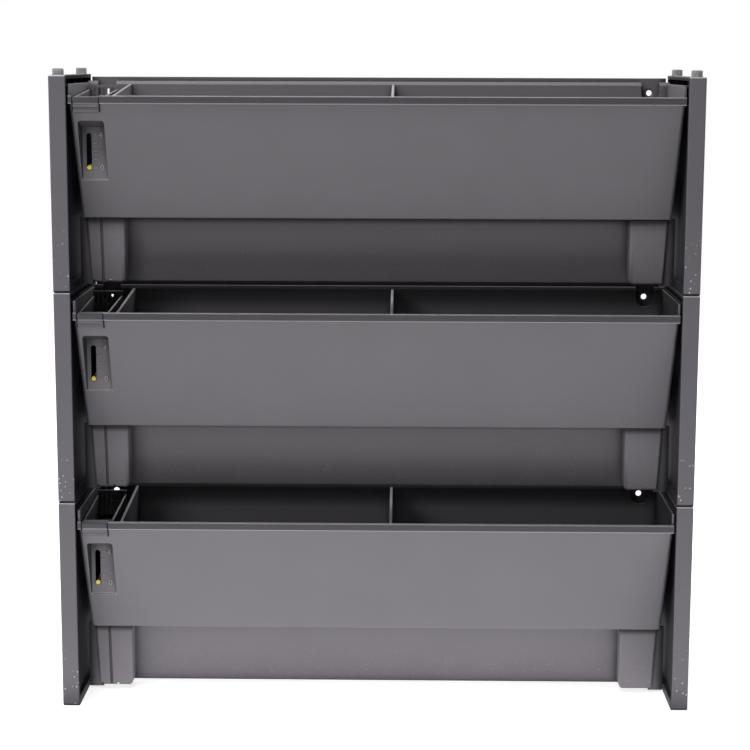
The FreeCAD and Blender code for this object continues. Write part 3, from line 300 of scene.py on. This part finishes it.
def black_polypropylene(name, colour):
    """Injection-moulded black polypropylene of the reservoir grates: plain and dull, with water
    stains about 25 mm across and grain of 0.5 mm drawn at 1.2 mm so that it shows."""
    material, tree, place = new_material(name)
    stain = add(tree, "ShaderNodeTexNoise", {"Vector": place, "Scale": 1 / (25 * MM), "Detail": 4.0})
    grain = add(tree, "ShaderNodeTexNoise", {"Vector": place, "Scale": 1 / (1.2 * MM)})
    body = add(tree, "ShaderNodeMix", {0: stain.outputs["Fac"], 6: colour, 7: tinted(colour, 1.5)},
               data_type="RGBA")
    gloss = add(tree, "ShaderNodeMapRange", {"Value": stain.outputs["Fac"], "To Min": 0.45, "To Max": 0.62})
    bump = add(tree, "ShaderNodeBump", {"Strength": 0.2, "Distance": 0.04 * MM,
                                       "Height": grain.outputs["Fac"]})
    shader = add(tree, "ShaderNodeBsdfPrincipled", {"Base Color": body.outputs[2],
                                                   "Roughness": gloss.outputs[0], "IOR": PLASTIC_IOR,
                                                   "Normal": bump.outputs[0]})
    add(tree, "ShaderNodeOutputMaterial", {"Surface": shader.outputs[0]})
    return material


def yellow_polypropylene(name, colour):
    """Injection-moulded yellow polypropylene of the gauge arm: bright, half gloss, faintly uneven
    in clouds of 6 mm."""
    material, tree, place = new_material(name)
    cloud = add(tree, "ShaderNodeTexNoise", {"Vector": place, "Scale": 1 / (6 * MM), "Detail": 2.0})
    body = add(tree, "ShaderNodeMix", {0: cloud.outputs["Fac"], 6: tinted(colour, 0.9), 7: colour},
               data_type="RGBA")
    gloss = add(tree, "ShaderNodeMapRange", {"Value": cloud.outputs["Fac"], "To Min": 0.28, "To Max": 0.4})
    shader = add(tree, "ShaderNodeBsdfPrincipled", {"Base Color": body.outputs[2],
                                                   "Roughness": gloss.outputs[0], "IOR": PLASTIC_IOR})
    add(tree, "ShaderNodeOutputMaterial", {"Surface": shader.outputs[0]})
    return material


def bead_foam(name, colour):
    """Expanded polystyrene of the float: white beads about 3 mm across, pressed together in a mould,
    with darker seams between them."""
    material, tree, place = new_material(name)
    beads = add(tree, "ShaderNodeTexVoronoi", {"Vector": place, "Scale": 1 / (3 * MM)},
                feature="DISTANCE_TO_EDGE")
    seam = add(tree, "ShaderNodeMapRange", {"Value": beads.outputs["Distance"], **fade(0.0, 0.12)})
    body = add(tree, "ShaderNodeMix", {0: seam.outputs[0], 6: tinted(colour, 0.72), 7: colour},
               data_type="RGBA")
    bump = add(tree, "ShaderNodeBump", {"Strength": 0.6, "Distance": 0.2 * MM, "Height": seam.outputs[0]})
    shader = add(tree, "ShaderNodeBsdfPrincipled", {"Base Color": body.outputs[2], "Roughness": 0.8,
                                                   "IOR": FOAM_IOR, "Normal": bump.outputs[0]})
    add(tree, "ShaderNodeOutputMaterial", {"Surface": shader.outputs[0]})
    return material


def zinc_plated_steel(name, colour):
    """Cold-headed steel, zinc plated: bright, with the mottling of the plating bath, 1.5 mm across."""
    material, tree, place = new_material(name)
    mottle = add(tree, "ShaderNodeTexNoise", {"Vector": place, "Scale": 1 / (1.5 * MM), "Detail": 4.0})
    body = add(tree, "ShaderNodeMix", {0: mottle.outputs["Fac"], 6: tinted(colour, 0.8), 7: colour},
               data_type="RGBA")
    gloss = add(tree, "ShaderNodeMapRange", {"Value": mottle.outputs["Fac"], "To Min": 0.25, "To Max": 0.45})
    shader = add(tree, "ShaderNodeBsdfPrincipled", {"Base Color": body.outputs[2],
                                                   "Roughness": gloss.outputs[0], "Metallic": 1.0})
    add(tree, "ShaderNodeOutputMaterial", {"Surface": shader.outputs[0]})
    return material


def dress(piece, material):
    """Give a piece one material all over."""
    piece.data.materials.clear()
    piece.data.materials.append(material)


def dress_nodes(material, *pieces):
    """Give the named pieces of every tier one material."""
    for tier in TIERS:
        for piece in pieces:
            dress(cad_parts[f"{tier}_{piece}"], material)


def deselect():
    """Leave nothing selected, so that an operator acts only on what it adds."""
    bpy.ops.object.select_all(action="DESELECT")


def pick(piece):
    """Select one piece alone and make it active."""
    deselect()
    piece.select_set(True)
    bpy.context.view_layer.objects.active = piece


def settle(piece, name):
    """Put a piece's place into its mesh and name it."""
    pick(piece)
    bpy.ops.object.transform_apply(location=True, rotation=True, scale=True)
    piece.name = name
    piece.data.name = name
    return piece


def edges_where(piece, test):
    """Select in edit mode the edges whose two ends pass a test on their place."""
    bpy.context.view_layer.objects.active = piece
    bpy.ops.object.mode_set(mode="EDIT")
    bpy.ops.mesh.select_mode(type="EDGE")
    bpy.ops.mesh.select_all(action="DESELECT")
    bpy.ops.object.mode_set(mode="OBJECT")
    points = piece.data.vertices
    for line in piece.data.edges:
        line.select = test(*(points[i].co for i in line.vertices))
    bpy.ops.object.mode_set(mode="EDIT")


def bevel_where(piece, test, width, steps):
    """Bevel the edges that pass a test."""
    edges_where(piece, test)
    bpy.ops.mesh.bevel(offset=width, segments=steps, affect="EDGES")
    bpy.ops.object.mode_set(mode="OBJECT")


def cut(piece, cutter):
    """Subtract one mesh from another and drop the cutter."""
    pick(piece)
    boolean = piece.modifiers.new("cut", "BOOLEAN")
    boolean.operation = "DIFFERENCE"
    boolean.solver = "EXACT"
    boolean.object = cutter
    bpy.ops.object.modifier_apply(modifier=boolean.name)
    bpy.data.objects.remove(cutter)


def joined(pieces, name):
    """Join several meshes into one named piece."""
    deselect()
    for piece in pieces:
        piece.select_set(True)
    bpy.context.view_layer.objects.active = pieces[0]
    bpy.ops.object.join()
    return settle(pieces[0], name)


def smooth(piece, degrees):
    """Shade smooth, with creases where faces meet at more than an angle."""
    pick(piece)
    bpy.ops.object.shade_smooth_by_angle(angle=math.radians(degrees))


def block(low, high):
    """Box between two corners."""
    deselect()
    low, high = Vector(low), Vector(high)
    bpy.ops.mesh.primitive_cube_add(size=1, location=(low + high) / 2, scale=high - low)
    return settle(bpy.context.object, "block")


class PlanterColours(bpy.types.PropertyGroup):
    """Colours of the planter's finishes."""
    side_plastic: bpy.props.FloatVectorProperty(
        name="Side plastic", description="Side panels", subtype="COLOR", size=4,
        min=0, max=1, default=linear("#67646A"))
    # Paler than the side panels and troughs of the same plastic: painted light on the legs of the rear
    # panels.
    rear_plastic: bpy.props.FloatVectorProperty(
        name="Rear plastic", description="Rear panels", subtype="COLOR", size=4,
        min=0, max=1, default=linear("#79757B"))
    trough_plastic: bpy.props.FloatVectorProperty(
        name="Trough plastic", description="Troughs and filler inserts", subtype="COLOR", size=4,
        min=0, max=1, default=linear("#6A676C"))
    # Paler than the trough plastic: painted highlight on the raised ticks and numbers.
    scale_plastic: bpy.props.FloatVectorProperty(
        name="Scale plastic", description="Rubbed marks of the gauge scales", subtype="COLOR", size=4,
        min=0, max=1, default=linear("#A9A6AA"))
    grate_plastic: bpy.props.FloatVectorProperty(
        name="Grate plastic", description="Reservoir grates", subtype="COLOR", size=4,
        min=0, max=1, default=linear("#2B2B2D"))
    arm_plastic: bpy.props.FloatVectorProperty(
        name="Gauge arm plastic", description="Gauge arms", subtype="COLOR", size=4,
        min=0, max=1, default=linear("#F0DC62"))
    float_foam: bpy.props.FloatVectorProperty(
        name="Float foam", description="Floats", subtype="COLOR", size=4,
        min=0, max=1, default=linear("#EFEDE6"))
    screw_zinc: bpy.props.FloatVectorProperty(
        name="Screw zinc", description="Panel screws", subtype="COLOR", size=4,
        min=0, max=1, default=linear("#C4C6CA"))


class PlanterSizes(bpy.types.PropertyGroup):
    """Sizes of the small pieces."""
    tick_length: bpy.props.FloatProperty(
        name="Tick length", description="Raised tick of the gauge scale", unit="LENGTH", default=3.4 * MM)
    tick_width: bpy.props.FloatProperty(
        name="Tick width", description="Raised tick of the gauge scale", unit="LENGTH", default=0.9 * MM)
    relief: bpy.props.FloatProperty(
        name="Relief", description="Ticks and numbers stand out by this much", unit="LENGTH",
        default=0.4 * MM)
    number_height: bpy.props.FloatProperty(
        name="Number height", description="Numbers of the gauge scale", unit="LENGTH", default=5.6 * MM)
    head_rounding: bpy.props.FloatProperty(
        name="Head rounding", description="Rounding of a screw head", unit="LENGTH", default=1.1 * MM)
    recess_depth: bpy.props.FloatProperty(
        name="Recess depth", description="Cross recess of a screw head", unit="LENGTH", default=1.6 * MM)


class PlanterStage(bpy.types.PropertyGroup):
    """Studio round the planter."""
    lens: bpy.props.FloatProperty(
        name="Lens", description="Focal length on a 36 mm frame", subtype="DISTANCE_CAMERA", default=91.346)
    overhead_power: bpy.props.FloatProperty(
        name="Overhead light", description="Soft light above and in front", unit="POWER", default=8.7)
    front_power: bpy.props.FloatProperty(
        name="Front light", description="Soft light from the front left", unit="POWER", default=8.4)
    near_power: bpy.props.FloatProperty(
        name="Near floor", description="Light thrown up by the floor at the foot", unit="POWER", default=1.9)
    far_power: bpy.props.FloatProperty(
        name="Far floor", description="Light thrown up by the floor in front", unit="POWER", default=2.6)
    top_power: bpy.props.FloatProperty(
        name="Top light", description="Soft light straight above", unit="POWER", default=13)
    side_power: bpy.props.FloatProperty(
        name="Side lights", description="Soft lights at either side", unit="POWER", default=14)
    rear_power: bpy.props.FloatProperty(
        name="Rear light", description="Soft light behind", unit="POWER", default=22)
    ambient: bpy.props.FloatProperty(
        name="Ambient", description="Light from all round", subtype="FACTOR", min=0, max=1, default=0.05)


class PLANTER_OT_side_panels(bpy.types.Operator):
    """Finish the side panels of every tier"""
    bl_idname = "planter.side_panels"
    bl_label = "Finish side panels"

    def execute(self, context):
        plastic = charcoal_polypropylene(
            "charcoal_polypropylene_grained", list(context.scene.planter_colours.side_plastic),
            roughness=0.68, scuffs_and_joint_light=0.8, creases=45 * MM, darkening=SIDE_PANEL_PAINTED_SHADE)
        dress_nodes(plastic, "left_panel", "right_panel")
        return {"FINISHED"}


class PLANTER_OT_rear_panels(bpy.types.Operator):
    """Finish the rear panels of every tier"""
    bl_idname = "planter.rear_panels"
    bl_label = "Finish rear panels"

    def execute(self, context):
        plastic = charcoal_polypropylene(
            "charcoal_polypropylene_dull", list(context.scene.planter_colours.rear_plastic),
            roughness=0.64, scuffs_and_joint_light=0.12, creases=12 * MM, darkening=REAR_PANEL_PAINTED_SHADE)
        dress_nodes(plastic, "rear_panel")
        return {"FINISHED"}


class PLANTER_OT_troughs(bpy.types.Operator):
    """Finish the troughs and filler inserts of every tier"""
    bl_idname = "planter.troughs"
    bl_label = "Finish troughs"

    def execute(self, context):
        plastic = charcoal_polypropylene(
            "charcoal_polypropylene_satin", list(context.scene.planter_colours.trough_plastic),
            roughness=0.56, scuffs_and_joint_light=0.12, creases=13 * MM, darkening=TROUGH_DARKENING, trough_highlight=0.2)
        dress_nodes(plastic, "trough", "filler_insert")
        return {"FINISHED"}


class PLANTER_OT_grates(bpy.types.Operator):
    """Finish the reservoir grates of every tier"""
    bl_idname = "planter.grates"
    bl_label = "Finish grates"

    def execute(self, context):
        plastic = black_polypropylene("black_polypropylene_moulded",
                                      list(context.scene.planter_colours.grate_plastic))
        dress_nodes(plastic, "left_grate", "right_grate")
        return {"FINISHED"}


class PLANTER_OT_gauge_arms(bpy.types.Operator):
    """Finish the yellow gauge arms of every tier"""
    bl_idname = "planter.gauge_arms"
    bl_label = "Finish gauge arms"

    def execute(self, context):
        plastic = yellow_polypropylene("yellow_polypropylene_moulded",
                                       list(context.scene.planter_colours.arm_plastic))
        dress_nodes(plastic, "gauge_arm")
        return {"FINISHED"}


class PLANTER_OT_gauge_scales(bpy.types.Operator):
    """Add the raised ticks and numbers beside every gauge slot"""
    bl_idname = "planter.gauge_scales"
    bl_label = "Add gauge scales"

    plate_y = -41.489 * MM
    tick_left = -264.3 * MM
    tick_heights = (114 * MM, 121.7 * MM, 129.4 * MM, 137.1 * MM, 144.8 * MM)
    tick_steps = 2
    numbers = (("0", -256.6 * MM, 114 * MM), ("4", -257.4 * MM, 144.2 * MM))
    type_size_to_height = 1.35
    number_edge = 0.08 * MM

    def one_tick(self, sizes, middle):
        """Tick on the plate with softened front edges, its middle at a height."""
        front = self.plate_y - sizes.relief
        tick = block((self.tick_left, front, middle - sizes.tick_width / 2),
                     (self.tick_left + sizes.tick_length, self.plate_y, middle + sizes.tick_width / 2))
        bevel_where(tick, lambda a, b: max(a.y, b.y) < front + HAIR, sizes.relief / 2, self.tick_steps)
        return tick

    def one_number(self, sizes, text, across, height):
        """Number raised on the plate, turned to the front."""
        deselect()
        bpy.ops.object.text_add(location=(across, self.plate_y - sizes.relief / 2, height),
                                rotation=(math.pi / 2, 0, 0))
        digit = bpy.context.object
        digit.data.body = text
        digit.data.size = sizes.number_height * self.type_size_to_height
        digit.data.align_x = "CENTER"
        digit.data.align_y = "CENTER"
        digit.data.extrude = sizes.relief / 2
        digit.data.bevel_depth = self.number_edge
        bpy.ops.object.convert(target="MESH")
        return settle(bpy.context.object, "digit")

    def execute(self, context):
        sizes = context.scene.planter_sizes
        plastic = charcoal_polypropylene(
            "charcoal_polypropylene_rubbed", list(context.scene.planter_colours.scale_plastic),
            roughness=0.5, scuffs_and_joint_light=0.0, creases=1 * MM, darkening=TROUGH_DARKENING)
        for number, tier in enumerate(TIERS):
            foot = number * TIER_HEIGHT
            marks = [self.one_tick(sizes, foot + height) for height in self.tick_heights]
            marks += [self.one_number(sizes, text, across, foot + height)
                      for text, across, height in self.numbers]
            scale = joined(marks, f"{tier}_gauge_scale")
            dress(scale, plastic)
            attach(scale, f"{tier}_trough")
        return {"FINISHED"}


class PLANTER_OT_floats(bpy.types.Operator):
    """Add the foam float of every tier"""
    bl_idname = "planter.floats"
    bl_label = "Add floats"

    corner = 3 * MM
    corner_steps = 6
    edge = 0.8 * MM
    edge_steps = 3
    bore_radius = 3.4 * MM
    bore_sides = 40
    crease_degrees = 40

    def execute(self, context):
        foam = bead_foam("bead_foam_moulded", list(context.scene.planter_colours.float_foam))
        for tier in TIERS:
            low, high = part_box(f"{tier}_float")
            body = block(low, high)
            bevel_where(body, lambda a, b: abs(a.z - b.z) > self.corner, self.corner, self.corner_steps)
            bevel_where(body, lambda a, b: abs(a.z - b.z) < HAIR and not low.z + HAIR <= a.z <= high.z - HAIR,
                        self.edge, self.edge_steps)
            deselect()
            bpy.ops.mesh.primitive_cylinder_add(vertices=self.bore_sides, radius=self.bore_radius,
                                                depth=2 * (high.z - low.z), location=(low + high) / 2)
            cut(body, settle(bpy.context.object, "bore"))
            smooth(body, self.crease_degrees)
            settle(body, f"{tier}_foam_float")
            dress(body, foam)
            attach(body, f"{tier}_float")
            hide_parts(f"{tier}_float")
        return {"FINISHED"}


class PLANTER_OT_screws(bpy.types.Operator):
    """Add the four panel screws of every tier"""
    bl_idname = "planter.screws"
    bl_label = "Add panel screws"

    places = ((-274 * MM, 90 * MM), (-274 * MM, 160 * MM), (274 * MM, 90 * MM), (274 * MM, 160 * MM))
    head_radius = 3.8 * MM
    head_height = 2.6 * MM
    head_sides = 36
    head_steps = 5
    shank_radius = 1.95 * MM
    shank_length = 11 * MM
    shank_sides = 24
    # The shank's end stands this far inside the head.
    shank_sink = 0.1 * MM
    tip_chamfer = 1.2 * MM
    slot_half = (2.1 * MM, 0.45 * MM)
    # Longest side of a head or shank's round, shorter than its length.
    round_side = 1 * MM
    crease_degrees = 35

    def bar(self, name, sides, radius, length, middle):
        """Round bar along the screw's axis, with its middle at a depth."""
        deselect()
        bpy.ops.mesh.primitive_cylinder_add(vertices=sides, radius=radius, depth=length,
                                            location=(0, middle, 0), rotation=(-math.pi / 2, 0, 0))
        return settle(bpy.context.object, name)

    def one_screw(self, sizes, seat):
        """Pan-head screw with a cross recess, its head seated at a depth and its axis on the origin."""
        crown = seat + self.head_height
        screw = self.bar("screw", self.head_sides, self.head_radius, self.head_height,
                         seat + self.head_height / 2)
        bevel_where(screw, lambda a, b: min(a.y, b.y) > crown - HAIR and (a - b).length < self.round_side,
                    sizes.head_rounding, self.head_steps)
        shank = self.bar("shank", self.shank_sides, self.shank_radius, self.shank_length,
                         seat - self.shank_length / 2 + self.shank_sink)
        tip = seat - self.shank_length + 2 * self.shank_sink
        bevel_where(shank, lambda a, b: max(a.y, b.y) < tip and (a - b).length < self.round_side,
                    self.tip_chamfer, 1)
        floor = crown - sizes.recess_depth
        long, short = self.slot_half
        for half_x, half_z in ((long, short), (short, long)):
            cut(screw, block((-half_x, floor, -half_z), (half_x, crown + 1 * MM, half_z)))
        whole = joined([screw, shank], "screw")
        smooth(whole, self.crease_degrees)
        return whole

    def execute(self, context):
        sizes = context.scene.planter_sizes
        zinc = zinc_plated_steel("zinc_plated_steel", list(context.scene.planter_colours.screw_zinc))
        for number, tier in enumerate(TIERS):
            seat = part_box(f"{tier}_panel_screws")[1].y - self.head_height
            pattern = self.one_screw(sizes, seat)
            screws = []
            for across, height in self.places:
                pick(pattern)
                bpy.ops.object.duplicate(linked=False)
                copy = bpy.context.object
                copy.location = (across, 0, number * TIER_HEIGHT + height)
                screws.append(settle(copy, "screw_copy"))
            bpy.data.objects.remove(pattern)
            row = joined(screws, f"{tier}_cross_head_screws")
            dress(row, zinc)
            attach(row, f"{tier}_frame")
            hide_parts(f"{tier}_panel_screws")
        return {"FINISHED"}


class PLANTER_OT_stage(bpy.types.Operator):
    """Add the floor, lights, surroundings and camera"""
    bl_idname = "planter.stage"
    bl_label = "Add stage"

    camera_place = (0.02467, -1.8241, 0.61439)
    camera_turn = (80.6003, -0.1785, 0.8570)
    camera_frame = 36
    camera_range = 50
    floor_size = 14
    # The floor is white from about a metre away.
    floor_lift = fade(0.3, 1.1, 0.75, 1.0)
    # Name, place, target, width and height, and the power's property.
    lights = (("overhead_light", (-0.35, -0.62, 1.6), (-0.1, 0, 0.4), (0.6, 0.3), "overhead_power"),
              ("front_light", (-1.4, -1.9, 1.3), (0, 0, 0.3), (0.9, 0.7), "front_power"),
              ("near_floor_light", (-0.1, -0.155, 0.001), (-0.1, -0.155, 1), (1.5, 0.29), "near_power"),
              ("far_floor_light", (-0.1, -0.525, 0.001), (-0.1, -0.525, 1), (1.5, 0.45), "far_power"),
              ("top_light", (-0.2, 0.15, 2.4), (-0.2, 0.15, 0), (1.6, 0.8), "top_power"),
              ("left_light", (-2.2, 0.5, 1.0), (-0.3, 0.02, 0.3), (1.0, 1.0), "side_power"),
              ("right_light", (2.2, 0.5, 1.0), (0.3, 0.02, 0.3), (1.0, 1.0), "side_power"),
              ("rear_light", (0.3, 1.8, 1.8), (0, 0, 0.3), (2.0, 1.0), "rear_power"))

    def soft_light(self, name, place, target, size, power):
        """Rectangular soft light at a place, turned to a target."""
        deselect()
        bpy.ops.object.light_add(type="AREA", location=place)
        lamp = bpy.context.object
        lamp.name = name
        lamp.rotation_euler = (Vector(target) - Vector(place)).to_track_quat("-Z", "Y").to_euler()
        lamp.data.shape = "RECTANGLE"
        lamp.data.size, lamp.data.size_y = size
        lamp.data.energy = power
        lamp.visible_camera = False

    def in_sight(self, tree):
        """One on rays of the camera, direct, mirrored or through glass, else nought."""
        path = add(tree, "ShaderNodeLightPath").outputs
        sight = path["Is Camera Ray"]
        for kind in ("Is Transmission Ray", "Is Glossy Ray"):
            sight = add(tree, "ShaderNodeMath", {0: sight, 1: path[kind]}, operation="MAXIMUM").outputs[0]
        return sight

    def pale_floor(self):
        """Painted board, matt white, brightened for the camera away from the planter."""
        deselect()
        bpy.ops.mesh.primitive_plane_add(size=self.floor_size, location=(0, 0, 0))
        floor = settle(bpy.context.object, "floor")
        material, tree, place = new_material("matt_white_board")
        distance = add(tree, "ShaderNodeVectorMath", {0: place}, operation="LENGTH").outputs["Value"]
        lift = add(tree, "ShaderNodeMapRange", {"Value": distance, **self.floor_lift})
        seen = add(tree, "ShaderNodeMath", {0: self.in_sight(tree), 1: lift.outputs[0]}, operation="MULTIPLY")
        paint = add(tree, "ShaderNodeBsdfDiffuse", {"Color": linear("#F0F0F0")})
        glow = add(tree, "ShaderNodeEmission", {"Strength": seen.outputs[0]})
        both = add(tree, "ShaderNodeAddShader", {0: paint.outputs[0], 1: glow.outputs[0]})
        add(tree, "ShaderNodeOutputMaterial", {"Surface": both.outputs[0]})
        dress(floor, material)

    def surroundings(self, ambient):
        """Dim even light all round, white where the camera looks."""
        world = bpy.data.worlds.new("studio")
        bpy.context.scene.world = world
        world.use_nodes = True
        tree = world.node_tree
        tree.nodes.clear()
        dim = add(tree, "ShaderNodeBackground", {"Color": linear("#FFFFFF"), "Strength": ambient})
        white = add(tree, "ShaderNodeBackground", {"Color": linear("#FFFFFF"), "Strength": 1.0})
        mix = add(tree, "ShaderNodeMixShader", {0: self.in_sight(tree), 1: dim.outputs[0],
                                               2: white.outputs[0]})
        add(tree, "ShaderNodeOutputWorld", {"Surface": mix.outputs[0]})

    def execute(self, context):
        stage = context.scene.planter_stage
        self.pale_floor()
        self.surroundings(stage.ambient)
        for name, place, target, size, power in self.lights:
            self.soft_light(name, place, target, size, getattr(stage, power))
        deselect()
        bpy.ops.object.camera_add(location=self.camera_place,
                                  rotation=[math.radians(angle) for angle in self.camera_turn])
        camera = bpy.context.object
        camera.data.lens = stage.lens
        camera.data.sensor_width = self.camera_frame
        camera.data.clip_end = self.camera_range
        context.scene.camera = camera
        context.scene.view_settings.view_transform = "Standard"
        return {"FINISHED"}


class PLANTER_PT_sidebar(bpy.types.Panel):
    """Planter tools in the sidebar"""
    bl_label = "Planter"
    bl_idname = "PLANTER_PT_sidebar"
    bl_space_type = "VIEW_3D"
    bl_region_type = "UI"
    bl_category = "Planter"

    def draw(self, context):
        for name in GROUPS:
            group = getattr(context.scene, name)
            for setting in group.__annotations__:
                self.layout.prop(group, setting)
        for operator in OPERATORS:
            self.layout.operator(operator.bl_idname)


GROUPS = {"planter_colours": PlanterColours, "planter_sizes": PlanterSizes, "planter_stage": PlanterStage}
OPERATORS = (PLANTER_OT_side_panels, PLANTER_OT_rear_panels, PLANTER_OT_troughs, PLANTER_OT_grates,
             PLANTER_OT_gauge_arms, PLANTER_OT_gauge_scales, PLANTER_OT_floats, PLANTER_OT_screws,
             PLANTER_OT_stage)


def register():
    for name, group in GROUPS.items():
        bpy.utils.register_class(group)
        setattr(bpy.types.Scene, name, bpy.props.PointerProperty(type=group))
    for kind in OPERATORS + (PLANTER_PT_sidebar,):
        bpy.utils.register_class(kind)


def unregister():
    for kind in reversed(OPERATORS + (PLANTER_PT_sidebar,)):
        bpy.utils.unregister_class(kind)
    for name, group in GROUPS.items():
        delattr(bpy.types.Scene, name)
        bpy.utils.unregister_class(group)


def main():
    register()
    bpy.ops.planter.stage()
    bpy.ops.planter.side_panels()
    bpy.ops.planter.rear_panels()
    bpy.ops.planter.troughs()
    bpy.ops.planter.grates()
    bpy.ops.planter.gauge_arms()
    bpy.ops.planter.gauge_scales()
    bpy.ops.planter.floats()
    bpy.ops.planter.screws()


if __name__ == "__main__":
    main()
